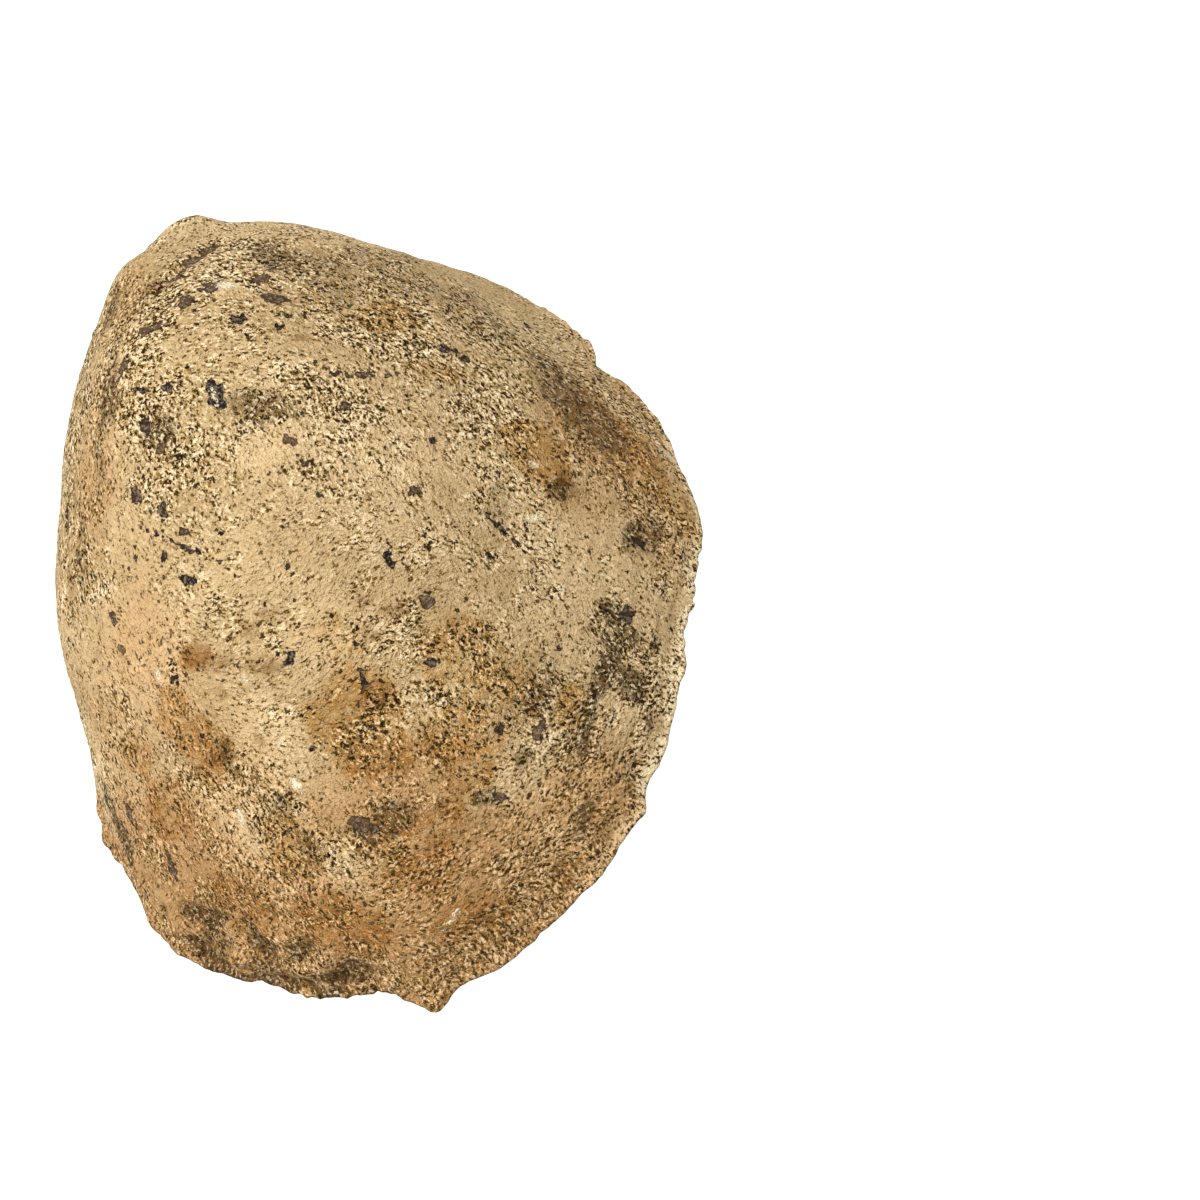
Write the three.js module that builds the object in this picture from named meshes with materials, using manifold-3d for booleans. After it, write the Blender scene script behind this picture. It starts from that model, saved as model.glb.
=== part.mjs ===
// One valve of a fossil clam: a thick, strongly domed half shell, worn at the beak and hollow beneath.
// Millimetres, +Z up. The valve lies dome up on its own rim, with the beak towards +Y. The origin is
// under the middle of its bounding box, on the surface that the rim rests on.
import * as THREE from "three";
import { mergeVertices } from "three/addons/utils/BufferGeometryUtils.js";
import Module from "manifold-3d";

// The margin, where this valve met the other one: a closed smooth curve in the plane of the rim. Its points
// are measured from the beak's pole, the point that every growth line shrinks to, and go round clockwise.
const MARGIN_POINTS = [
  [0, -3],
  [19, -6],
  [28, -17],
  [34, -31],
  [36, -46],
  [35, -60],
  [29, -74],
  [18, -86],
  [2, -99],
  [-18, -104],
  [-37, -98],
  [-49, -84],
  [-56, -66],
  [-52, -47],
  [-41, -28],
  [-24, -10],
];

// The valve grew by turning about its hinge as it shrinks back towards the beak. TURN is the whole angle,
// in radians, between the rim and the beak's pole, and TURN_POWER says how soon the turning comes.
const TURN = 2.3;
const TURN_POWER = 0.75;

// The crest of the beak keeps one hard knob, and beside it everything beyond a plane is worn away.
const KNOB_AT = new THREE.Vector3(1, -3, 26);
const KNOB_RADIUS = 6;
const KNOB_HEIGHT = 1.2;
const WORN_NORMAL = new THREE.Vector3(-0.19, 0.87, 0.46).normalize();
const WORN_REACH = 10.6;

// The underside: a flat rim, wider at the hinge plate, round a smooth bowl. Towards its middle the bowl
// turns from the outline of the rim to a circle.
const RIM_WIDTH = 4;
const HINGE_PLATE_WIDTH = 13;
const HINGE_PLATE_REACH = 44;
const BOWL_CENTRE = new THREE.Vector2(-9, -54);
const BOWL_RADIUS = 40;
const BOWL_DEPTH = 31;
const BOWL_POWER = 2.2;

// Sockets for the other valve's teeth, and the groove of the ligament: long hollows in the hinge plate.
// Each has its middle, its length, its width, its depth and its turn about Z from the Y direction.
const HINGE_HOLLOWS = [
  { at: [6, -11], length: 8, width: 3, depth: 2, turn: -24 },
  { at: [0, -10.5], length: 8, width: 3, depth: 2, turn: 4 },
  { at: [-7, -11], length: 9, width: 3, depth: 2, turn: 36 },
  { at: [-20, -13.5], length: 15, width: 2.4, depth: 1.4, turn: 112 },
];

// Steps round the margin, from the margin to the pole outside, and from the rim to the middle inside.
const STEPS_ROUND = 72;
const OUTER_RINGS = 28;
const INNER_RINGS = 12;

const margin = new THREE.CatmullRomCurve3(
  MARGIN_POINTS.map(([x, y]) => new THREE.Vector3(x, y, 0)),
  true,
  "catmullrom",
  0.5,
);
const marginPoints = Array.from({ length: STEPS_ROUND }, (_, i) => margin.getPoint(i / STEPS_ROUND));

// A point of the outer surface: `size` is 1 at the margin and 0 at the pole.
function outerPoint(size, rim) {
  const angle = TURN * (1 - size ** TURN_POWER);
  const point = new THREE.Vector3(
    size * rim.x,
    size * rim.y * Math.cos(angle),
    -size * rim.y * Math.sin(angle),
  );
  const excess = point.dot(WORN_NORMAL) - WORN_REACH;
  const knob = KNOB_HEIGHT * Math.exp(-((point.distanceTo(KNOB_AT) / KNOB_RADIUS) ** 2));
  return point.addScaledVector(WORN_NORMAL, knob - Math.max(0, excess));
}

// A point of the inner surface: `size` is 1 at the rim's inner edge and 0 in the middle of the bowl.
function innerPoint(size, rim) {
  const fromBeak = THREE.MathUtils.smoothstep(rim.distanceTo(marginPoints[0]), 0, HINGE_PLATE_REACH);
  const width = THREE.MathUtils.lerp(HINGE_PLATE_WIDTH, RIM_WIDTH, fromBeak);
  const spoke = new THREE.Vector2(rim.x, rim.y).sub(BOWL_CENTRE);
  const reach = THREE.MathUtils.lerp(BOWL_RADIUS, spoke.length() - width, size * size);
  spoke.setLength(size * reach).add(BOWL_CENTRE);
  return new THREE.Vector3(spoke.x, spoke.y, BOWL_DEPTH * (1 - size ** BOWL_POWER));
}

// Rings from the outer pole to the margin, across the flat rim, and on to the middle of the bowl.
function valveGeometry() {
  const positions = [];
  const faces = [];
  const rings = [];
  const addRing = (points) => {
    rings.push(positions.length / 3);
    points.forEach((point) => positions.push(point.x, point.y, point.z));
  };
  positions.push(0, 0, 0);
  for (let i = 1; i <= OUTER_RINGS; i += 1) {
    addRing(marginPoints.map((rim) => outerPoint(i / OUTER_RINGS, rim)));
  }
  for (let i = INNER_RINGS; i > 0; i -= 1) {
    addRing(marginPoints.map((rim) => innerPoint(i / INNER_RINGS, rim)));
  }
  const middle = positions.length / 3;
  positions.push(BOWL_CENTRE.x, BOWL_CENTRE.y, BOWL_DEPTH);
  for (let i = 0; i < STEPS_ROUND; i += 1) {
    const next = (i + 1) % STEPS_ROUND;
    faces.push(0, rings[0] + next, rings[0] + i);
    for (let k = 0; k + 1 < rings.length; k += 1) {
      const [near, far] = [rings[k], rings[k + 1]];
      faces.push(near + i, near + next, far + i);
      faces.push(near + next, far + next, far + i);
    }
    const last = rings.at(-1);
    faces.push(last + i, last + next, middle);
  }
  const geometry = new THREE.BufferGeometry();
  geometry.setAttribute("position", new THREE.Float32BufferAttribute(positions, 3));
  geometry.setIndex(faces);
  return geometry;
}

// One long hollow, as the round-bottomed body that cuts it.
function hollowGeometry({ at, length, width, depth, turn }) {
  const geometry = new THREE.SphereGeometry(1, 12, 8);
  geometry.scale(width / 2, length / 2, depth);
  geometry.rotateZ(THREE.MathUtils.degToRad(turn));
  geometry.translate(at[0], at[1], 0);
  return geometry;
}

const wasm = await Module();
wasm.setup();

function solidFrom(geometry) {
  geometry.deleteAttribute("normal");
  geometry.deleteAttribute("uv");
  const merged = mergeVertices(geometry);
  const vertProperties = merged.attributes.position.array;
  const triVerts = new Uint32Array(merged.index.array);
  return new wasm.Manifold(new wasm.Mesh({ numProp: 3, vertProperties, triVerts }));
}

function geometryFrom(solid) {
  const { vertProperties, triVerts } = solid.getMesh();
  const geometry = new THREE.BufferGeometry();
  geometry.setAttribute("position", new THREE.Float32BufferAttribute(vertProperties, 3));
  geometry.setIndex(new THREE.Uint32BufferAttribute(triVerts, 1));
  geometry.computeVertexNormals();
  return geometry;
}

let valveSolid = solidFrom(valveGeometry());
for (const hollow of HINGE_HOLLOWS) {
  valveSolid = valveSolid.subtract(solidFrom(hollowGeometry(hollow)));
}

const fossilShell = new THREE.MeshStandardMaterial({ color: 0xbaa27a, roughness: 0.85, metalness: 0 });
const valve = new THREE.Mesh(geometryFrom(valveSolid), fossilShell);
valve.name = "valve";
valve.geometry.computeBoundingBox();
const { min, max } = valve.geometry.boundingBox;
valve.position.set(-(min.x + max.x) / 2, -(min.y + max.y) / 2, -min.z);

const clamShell = new THREE.Group();
clamShell.add(valve);

export default clamShell;
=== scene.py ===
import bpy
import numpy as np
from mathutils import Matrix, Vector, noise


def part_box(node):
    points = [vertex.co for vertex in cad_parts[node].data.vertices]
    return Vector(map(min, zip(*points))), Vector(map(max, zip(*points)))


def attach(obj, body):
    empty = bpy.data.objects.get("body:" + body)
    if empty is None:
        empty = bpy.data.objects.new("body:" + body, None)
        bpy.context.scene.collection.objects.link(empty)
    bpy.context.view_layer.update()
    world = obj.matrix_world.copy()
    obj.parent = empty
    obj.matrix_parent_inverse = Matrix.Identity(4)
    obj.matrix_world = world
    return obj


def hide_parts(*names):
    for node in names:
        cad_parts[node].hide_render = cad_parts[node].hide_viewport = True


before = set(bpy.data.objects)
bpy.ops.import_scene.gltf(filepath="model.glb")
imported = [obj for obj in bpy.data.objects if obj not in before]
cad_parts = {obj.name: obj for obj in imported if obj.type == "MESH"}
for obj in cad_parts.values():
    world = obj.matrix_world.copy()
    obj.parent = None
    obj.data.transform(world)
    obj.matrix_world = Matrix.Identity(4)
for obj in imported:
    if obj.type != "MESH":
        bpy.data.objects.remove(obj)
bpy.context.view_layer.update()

# Camera. It looks down on the valve from beyond its outer margin, rolled so that the beak comes at the
# top left of the picture. The valve stands left of the middle of the frame, and a little above it.
MM = 0.001
CAMERA_ELEVATION = np.radians(62)
CAMERA_ROLL = np.radians(37)
CAMERA_DISTANCE = 332.6 * MM
CAMERA_TO_RIGHT = 37.0 * MM
CAMERA_UP = -6.7 * MM
CAMERA_LENS = 80
SENSOR_WIDTH = 36

low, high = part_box("valve")
valve_middle = (low + high) / 2
towards_camera = Vector((0, -np.cos(CAMERA_ELEVATION), np.sin(CAMERA_ELEVATION)))
level = Vector((1, 0, 0))
upright = towards_camera.cross(level)
picture_right = level * np.cos(CAMERA_ROLL) - upright * np.sin(CAMERA_ROLL)
picture_up = level * np.sin(CAMERA_ROLL) + upright * np.cos(CAMERA_ROLL)

camera_data = bpy.data.cameras.new("camera")
camera_data.lens = CAMERA_LENS
camera_data.sensor_width = SENSOR_WIDTH
camera_data.clip_start = 10 * MM
camera = bpy.data.objects.new("camera", camera_data)
camera.matrix_world = Matrix((picture_right, picture_up, towards_camera)).transposed().to_4x4()
camera.location = (
    valve_middle
    + towards_camera * CAMERA_DISTANCE
    + picture_right * CAMERA_TO_RIGHT
    + picture_up * CAMERA_UP
)
bpy.context.scene.collection.objects.link(camera)
bpy.context.scene.camera = camera

# Studio. A plain pale floor, white light from all round, and two large soft lamps on the camera's left. The
# key lamp is on the beak's side, so that the flanks beyond the crest fall off into softer light. A lamp's
# direction is given as right, up and towards the camera.
FLOOR_SIZE = 30.0
FLOOR_HEIGHT = -0.1 * MM
FLOOR_COLOUR = (0.90, 0.895, 0.885, 1)
ROOM_LIGHT = 0.60
LAMP_DISTANCE = 0.8
KEY_DIRECTION = (-0.5, 0.5, 0.9)
KEY_SIZE = 0.35
KEY_LIGHT = 6.8
FILL_DIRECTION = (-0.5, -0.7, 0.6)
FILL_SIZE = 0.7
FILL_LIGHT = 1.6

bpy.context.scene.view_settings.view_transform = "Standard"
bpy.context.scene.view_settings.look = "None"

bpy.ops.mesh.primitive_plane_add(size=FLOOR_SIZE, location=(0, 0, FLOOR_HEIGHT))
floor = bpy.context.object
floor.name = "floor"
floor_paint = bpy.data.materials.new("pale_floor")
floor_paint.use_nodes = True
floor_shader = floor_paint.node_tree.nodes["Principled BSDF"]
floor_shader.inputs["Base Color"].default_value = FLOOR_COLOUR
floor_shader.inputs["Roughness"].default_value = 0.9
floor_shader.inputs["Specular IOR Level"].default_value = 0.1
floor.data.materials.append(floor_paint)

room = bpy.data.worlds.new("room")
room.use_nodes = True
room.node_tree.nodes["Background"].inputs["Color"].default_value = (1, 1, 1, 1)
room.node_tree.nodes["Background"].inputs["Strength"].default_value = ROOM_LIGHT
bpy.context.scene.world = room


def hang_lamp(name, direction, size, power):
    """A square soft lamp that faces the valve."""
    data = bpy.data.lights.new(name, "AREA")
    data.shape = "SQUARE"
    data.size = size
    data.energy = power
    lamp = bpy.data.objects.new(name, data)
    right, up, near = direction
    aim = (picture_right * right + picture_up * up + towards_camera * near).normalized()
    lamp.location = valve_middle + aim * LAMP_DISTANCE
    lamp.rotation_euler = aim.to_track_quat("Z", "Y").to_euler()
    bpy.context.scene.collection.objects.link(lamp)


hang_lamp("key_lamp", KEY_DIRECTION, KEY_SIZE, KEY_LIGHT)
hang_lamp("fill_lamp", FILL_DIRECTION, FILL_SIZE, FILL_LIGHT)

# Valve. One thick half of a clam's shell, turned to limestone: domed outside, flat round its rim, hollow
# beneath. It grew by adding to its margin, so each point of the dome is a smaller copy of a margin point,
# turned about the hinge. Weather has worn its crest flat, broken its margin and opened its pores.
MARGIN_POINTS = [
    (0, -3),
    (19, -6),
    (28, -17),
    (34, -31),
    (36, -46),
    (35, -60),
    (29, -74),
    (18, -86),
    (2, -99),
    (-18, -104),
    (-37, -98),
    (-49, -84),
    (-56, -66),
    (-52, -47),
    (-41, -28),
    (-24, -10),
]
TURN = 2.3
TURN_POWER = 0.75
KNOB_AT = (1, -3, 26)
KNOB_RADIUS = 6
KNOB_HEIGHT = 1.2
WORN_NORMAL = np.array((-0.19, 0.87, 0.46))
WORN_NORMAL /= np.linalg.norm(WORN_NORMAL)
WORN_REACH = 10.6
RIM_WIDTH = 4
HINGE_PLATE_WIDTH = 13
HINGE_PLATE_REACH = 44
BOWL_CENTRE = np.array((-9, -54))
BOWL_RADIUS = 40
BOWL_DEPTH = 31
BOWL_POWER = 2.2

# Sockets of the hinge, and the ligament's groove: middle, length, width, depth and turn from the Y
# direction, in degrees.
HINGE_HOLLOWS = [
    ((6, -11), 8, 3, 2, -24),
    ((0, -10.5), 8, 3, 2, 4),
    ((-7, -11), 9, 3, 2, 36),
    ((-20, -13.5), 15, 2.4, 1.4, 112),
]

# Scars that the two muscles left inside: middle, half length, half width and turn. The line that held the
# mantle joins them, at this share of the way from the middle of the hollow to its edge.
MUSCLE_SCARS = [
    ((19, -36), 9, 5.5, 20),
    ((-38, -54), 10, 6, -14),
]
MANTLE_LINE_SIZE = 0.80
SCAR_DEPTH = 0.5

# The mesh: points round the margin, and rings of them on the dome, on the rim and in the hollow.
STEPS_ROUND = 420
OUTSIDE_RINGS = 188
RIM_RINGS = 8
HOLLOW_RINGS = 36


def smooth_step(value, start, end):
    """0 up to start, 1 from end on, and smooth between."""
    share = np.clip((value - start) / (end - start), 0, 1)
    return share * share * (3 - 2 * share)


def band(value, start, full, fade, end):
    """1 from full to fade, and smooth down to 0 at start and at end."""
    return smooth_step(value, start, full) * (1 - smooth_step(value, fade, end))


def margin_at(rounds):
    """Points of the margin, in millimetres from the beak's pole; rounds go from 0 at the beak to 1."""
    points = np.array(MARGIN_POINTS, float)
    count = len(points)
    place = np.asarray(rounds, float) % 1 * count
    first = np.floor(place).astype(int)
    share = (place - first)[:, None]
    before, start, end, after = (points[(first + k) % count] for k in (-1, 0, 1, 2))
    return 0.5 * (
        2 * start
        + (end - before) * share
        + (2 * before - 5 * start + 4 * end - after) * share**2
        + (3 * start - before - 3 * end + after) * share**3
    )


def dome_at(sizes, rounds):
    """Points of the dome: one row for each size, from 0 at the pole to 1 at the margin."""
    rim = margin_at(rounds)
    size = np.asarray(sizes, float)[:, None]
    angle = TURN * (1 - size**TURN_POWER)
    dome = np.stack(
        (size * rim[:, 0], size * rim[:, 1] * np.cos(angle), -size * rim[:, 1] * np.sin(angle)), -1
    )
    excess = dome @ WORN_NORMAL - WORN_REACH
    knob = KNOB_HEIGHT * np.exp(-((np.linalg.norm(dome - KNOB_AT, axis=-1) / KNOB_RADIUS) ** 2))
    return dome + (knob - np.maximum(0, excess))[..., None] * WORN_NORMAL


def hollow_at(sizes, rounds):
    """Points of the hollow: one row for each size, from 1 at the rim's inner edge to 0 in the middle."""
    rim = margin_at(rounds)
    size = np.asarray(sizes, float)[:, None]
    from_beak = smooth_step(np.linalg.norm(rim - margin_at([0]), axis=1), 0, HINGE_PLATE_REACH)
    width = HINGE_PLATE_WIDTH + (RIM_WIDTH - HINGE_PLATE_WIDTH) * from_beak
    spoke = rim - BOWL_CENTRE
    length = np.linalg.norm(spoke, axis=1)
    reach = BOWL_RADIUS + (length - width - BOWL_RADIUS) * size**2
    flat = BOWL_CENTRE + (spoke / length[:, None]) * (size * reach)[..., None]
    depth = np.broadcast_to(BOWL_DEPTH * (1 - size**BOWL_POWER), reach.shape)
    return np.concatenate((flat, depth[..., None]), -1)


def share_out(lengths, count):
    """Places from 0 to 1 that cut a line, given by the lengths of its steps, into equal parts."""
    total = np.concatenate(([0], np.cumsum(lengths)))
    return np.interp(np.linspace(0, total[-1], count + 1), total, np.linspace(0, 1, len(total)))


def lumps(points, lump, octaves=3, seed=0):
    """Fractal noise, about -1 to 1, at each point; lump is the size of its largest lumps."""
    shift = Vector((37.1, 11.7, 5.3)) * seed
    flat = points.reshape(-1, 3) / lump
    values = [noise.fractal(Vector(point) + shift, 1.0, 2.0, octaves) for point in flat]
    return np.array(values).reshape(points.shape[:-1])


# Places round the margin, further apart near the beak, and rings on the dome, closer together towards the
# broken margin. The meridian that spaces the rings runs to the middle of the ventral side.
FINE_STEPS = 4000
CLOSE_STEPS_FROM = 60
WIDE_STEP_DENSITY = 0.6
VENTRAL = 0.56
fine = np.linspace(0, 1, FINE_STEPS + 1)
fine_margin = margin_at(fine)
step_lengths = np.linalg.norm(np.diff(fine_margin, axis=0), axis=1)
from_pole = np.linalg.norm(fine_margin[1:], axis=1)
density = np.clip(from_pole / CLOSE_STEPS_FROM, WIDE_STEP_DENSITY, 1)
rounds = share_out(step_lengths * density, STEPS_ROUND)[:-1]

meridian = dome_at(fine, [VENTRAL])[:, 0]
ring_lengths = np.linalg.norm(np.diff(meridian, axis=0), axis=1)
ring_density = 1 + 1.2 * smooth_step(fine[1:], 0.95, 0.985)
sizes = share_out(ring_lengths * ring_density, OUTSIDE_RINGS)[1:]

dome = dome_at(sizes, rounds)
across = np.roll(dome, -1, 1) - np.roll(dome, 1, 1)
along = np.gradient(dome, axis=0)
outward = np.cross(across, along)
outward /= np.linalg.norm(outward, axis=-1, keepdims=True)


def blotch(points, size, place_round, half_long, half_wide, turn=0):
    """How far points are from the middle of an oval on the dome, where 1 is its edge. At turn 0, half_long
    runs in the direction of growth, from beak to margin. Turns are in degrees."""
    middle = dome_at([size], [place_round])[0, 0]
    down = dome_at([size + 0.01], [place_round])[0, 0] - dome_at([size - 0.01], [place_round])[0, 0]
    down /= np.linalg.norm(down)
    side = dome_at([size], [place_round + 0.005])[0, 0] - dome_at([size], [place_round - 0.005])[0, 0]
    side -= down * (side @ down)
    side /= np.linalg.norm(side)
    angle = np.radians(turn)
    long_way = down * np.cos(angle) + side * np.sin(angle)
    wide_way = side * np.cos(angle) - down * np.sin(angle)
    offset = points - middle
    depth = offset @ np.cross(down, side)
    return np.sqrt(
        (offset @ long_way / half_long) ** 2
        + (offset @ wide_way / half_wide) ** 2
        + (depth / half_long) ** 2
    )


def blotches(points, ovals, edge=(0.5, 1.3)):
    """Strength, at each point, of a stain made of ovals: size, round, half lengths, turn and strength."""
    total = np.zeros(points.shape[:-1])
    for *oval, strength in ovals:
        total = np.maximum(total, strength * (1 - smooth_step(blotch(points, *oval), *edge)))
    return total


# Grains of dark sediment set in the dome: size, round, half length, half width, turn and tone, which goes
# from 0 for black to 1 for brown.
GRAINS = [
    (0.390, 0.551, 1.4, 1.2, -75, 0.9),
    (0.384, 0.502, 1.5, 1.0, 75, 0.6),
    (0.377, 0.482, 1.3, 0.9, 80, 0.6),
    (0.400, 0.528, 1.3, 0.9, 75, 0.6),
    (0.449, 0.529, 1.1, 0.9, 30, 0.4),
    (0.453, 0.504, 1.1, 0.8, -75, 0.4),
    (0.485, 0.462, 0.9, 0.8, -55, 0.5),
    (0.515, 0.464, 1.5, 0.9, -40, 0.3),
    (0.505, 0.501, 0.7, 0.9, 65, 0.1),
    (0.449, 0.571, 0.8, 0.6, -70, 0.4),
    (0.453, 0.558, 0.7, 0.4, -70, 0.5),
    (0.538, 0.465, 0.3, 0.3, 0, 0.0),
    (0.541, 0.477, 0.3, 0.3, 0, 0.0),
    (0.564, 0.471, 0.7, 0.5, -50, 0.9),
    (0.554, 0.543, 1.8, 0.9, 10, 0.0),
    (0.535, 0.599, 1.3, 0.6, 5, 0.2),
    (0.564, 0.594, 0.7, 0.5, 10, 0.6),
    (0.587, 0.624, 1.0, 0.6, 10, 0.2),
    (0.610, 0.609, 0.9, 0.5, 5, 0.2),
    (0.633, 0.600, 0.6, 0.5, -65, 0.3),
    (0.577, 0.584, 0.4, 0.3, -65, 0.0),
    (0.502, 0.592, 0.5, 0.3, -50, 0.1),
    (0.518, 0.572, 0.6, 0.5, -65, 0.1),
    (0.469, 0.601, 1.0, 0.5, 45, 0.5),
    (0.472, 0.618, 0.6, 0.4, 50, 0.6),
    (0.639, 0.477, 0.6, 0.5, -70, 0.5),
    (0.626, 0.519, 0.8, 0.5, -55, 0.6),
    (0.649, 0.519, 0.5, 0.4, -55, 0.3),
    (0.633, 0.453, 2.2, 0.3, -60, 0.3),
    (0.590, 0.439, 0.5, 0.4, -45, 0.7),
    (0.584, 0.721, 0.9, 0.3, 5, 0.2),
    (0.653, 0.720, 2.0, 0.5, 15, 0.8),
    (0.689, 0.381, 0.9, 0.5, -45, 0.1),
    (0.708, 0.376, 0.9, 0.5, -40, 0.1),
    (0.823, 0.262, 0.5, 0.5, 0, 0.1),
    (0.725, 0.477, 0.6, 0.5, -70, 0.5),
    (0.741, 0.512, 1.2, 0.4, 25, 0.0),
    (0.718, 0.448, 0.4, 0.4, 0, 0.1),
    (0.807, 0.453, 1.0, 0.1, -5, 0.0),
    (0.803, 0.469, 0.5, 0.3, 80, 0.1),
    (0.843, 0.406, 1.7, 0.7, 65, 0.8),
    (0.853, 0.402, 1.1, 0.5, 55, 0.8),
    (0.934, 0.435, 1.1, 0.9, -25, 0.2),
    (0.780, 0.510, 0.9, 0.8, -55, 0.5),
    (0.875, 0.519, 0.5, 0.5, 0, 0.2),
    (0.810, 0.525, 0.7, 0.4, -75, 0.0),
    (0.885, 0.472, 0.3, 0.3, -50, 0.0),
    (0.898, 0.505, 1.1, 0.6, 55, 0.6),
    (0.751, 0.507, 0.3, 0.3, 0, 0.0),
    (0.718, 0.592, 1.2, 0.7, -5, 0.9),
    (0.744, 0.593, 1.9, 0.9, -65, 0.9),
    (0.748, 0.580, 0.8, 0.5, 0, 0.0),
    (0.735, 0.651, 0.8, 0.5, -90, 0.0),
    (0.666, 0.612, 1.0, 0.5, -40, 0.0),
    (0.643, 0.605, 1.7, 0.1, -40, 0.1),
    (0.643, 0.622, 0.7, 0.3, 30, 0.1),
    (0.685, 0.684, 0.9, 0.3, -5, 0.4),
    (0.712, 0.685, 0.9, 0.3, -15, 0.7),
    (0.721, 0.626, 2.3, 1.3, -80, 1.0),
    (0.731, 0.614, 1.0, 0.6, 85, 1.0),
    (0.800, 0.555, 2.0, 1.3, 85, 0.9),
    (0.784, 0.554, 1.4, 0.1, 20, 0.1),
    (0.807, 0.593, 0.5, 0.3, -60, 0.0),
    (0.866, 0.590, 1.5, 0.9, -40, 0.5),
    (0.908, 0.709, 1.3, 0.5, 10, 0.5),
    (0.797, 0.643, 2.0, 0.8, 80, 0.9),
    (0.767, 0.541, 0.8, 0.5, -55, 0.9),
    (0.748, 0.536, 0.9, 0.4, -85, 0.8),
    (0.718, 0.577, 1.0, 0.3, -60, 0.8),
    (0.767, 0.527, 1.0, 0.7, -55, 0.8),
    (0.790, 0.615, 0.7, 0.5, -5, 0.9),
    (0.751, 0.622, 0.5, 0.5, 0, 0.9),
    (0.879, 0.730, 1.5, 0.6, 0, 0.5),
    (0.931, 0.396, 0.9, 0.3, 0, 0.2),
    (0.905, 0.534, 0.8, 0.5, -55, 0.6),
]

# White flecks of calcite, most of them in or beside a grain: size, round, half length, half width, turn.
FLECKS = [
    (0.552, 0.544, 1.0, 0.25, 12),
    (0.462, 0.492, 1.3, 0.8, -60),
    (0.731, 0.661, 0.8, 0.4, 20),
    (0.826, 0.608, 0.8, 0.5, -30),
    (0.748, 0.606, 0.7, 0.4, 10),
    (0.810, 0.407, 0.6, 0.4, -20),
    (0.826, 0.435, 0.9, 0.4, -50),
    (0.984, 0.319, 1.2, 0.5, 0),
    (0.843, 0.646, 1.0, 0.4, 20),
    (0.951, 0.579, 1.3, 0.3, 60),
]

# Stains of rust, smoke and earth on the dome, bleached pale places and open pores, each made of ovals:
# size, round, half length, half width, turn and strength. The shell has some pores everywhere.
RUST = [
    (0.80, 0.565, 5.5, 5.0, 60, 0.9),
    (0.83, 0.566, 5.0, 4.0, -60, 0.8),
    (0.79, 0.580, 3.0, 3.0, 0, 0.6),
    (0.76, 0.660, 4.0, 3.0, -90, 0.7),
    (0.78, 0.652, 4.0, 3.0, 75, 0.7),
    (0.80, 0.647, 4.5, 3.0, 75, 0.8),
    (0.87, 0.624, 5.0, 5.0, 0, 0.7),
    (0.85, 0.697, 5.0, 5.0, 0, 0.6),
    (0.81, 0.553, 3.0, 2.5, -55, 0.7),
    (0.86, 0.531, 6.0, 4.0, -55, 0.7),
    (0.91, 0.488, 4.0, 2.8, 70, 0.9),
    (0.89, 0.553, 2.8, 2.2, -55, 0.9),
    (0.90, 0.577, 5.0, 7.0, 80, 0.6),
    (0.98, 0.530, 3.0, 2.0, 80, 0.9),
    (0.81, 0.400, 5.0, 4.0, 5, 0.9),
    (0.93, 0.334, 4.5, 4.0, 0, 0.7),
    (0.97, 0.359, 5.5, 3.0, 20, 0.5),
    (0.94, 0.352, 4.5, 4.0, 5, 0.5),
    (0.69, 0.412, 5.0, 1.5, -40, 0.6),
    (0.62, 0.397, 4.0, 3.5, -40, 0.6),
    (0.88, 0.539, 4.0, 3.5, -55, 0.6),
    (0.72, 0.628, 3.0, 2.0, -85, 0.9),
    (0.92, 0.673, 6.0, 5.0, -65, 0.6),
    (0.93, 0.621, 7.0, 6.0, -60, 0.7),
    (0.96, 0.571, 6.0, 4.0, -85, 0.7),
    (0.82, 0.512, 6.0, 6.0, 0, 0.5),
    (0.86, 0.509, 6.0, 5.0, -55, 0.5),
    (0.88, 0.320, 3.0, 3.0, 0, 0.5),
    (0.63, 0.678, 5.0, 8.0, -75, 0.1),
    (0.81, 0.709, 4.0, 4.0, 0, 0.4),
    (0.42, 0.593, 8.0, 4.0, 30, 0.2),
    (0.76, 0.553, 5.0, 4.0, -60, 0.3),
]
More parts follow.
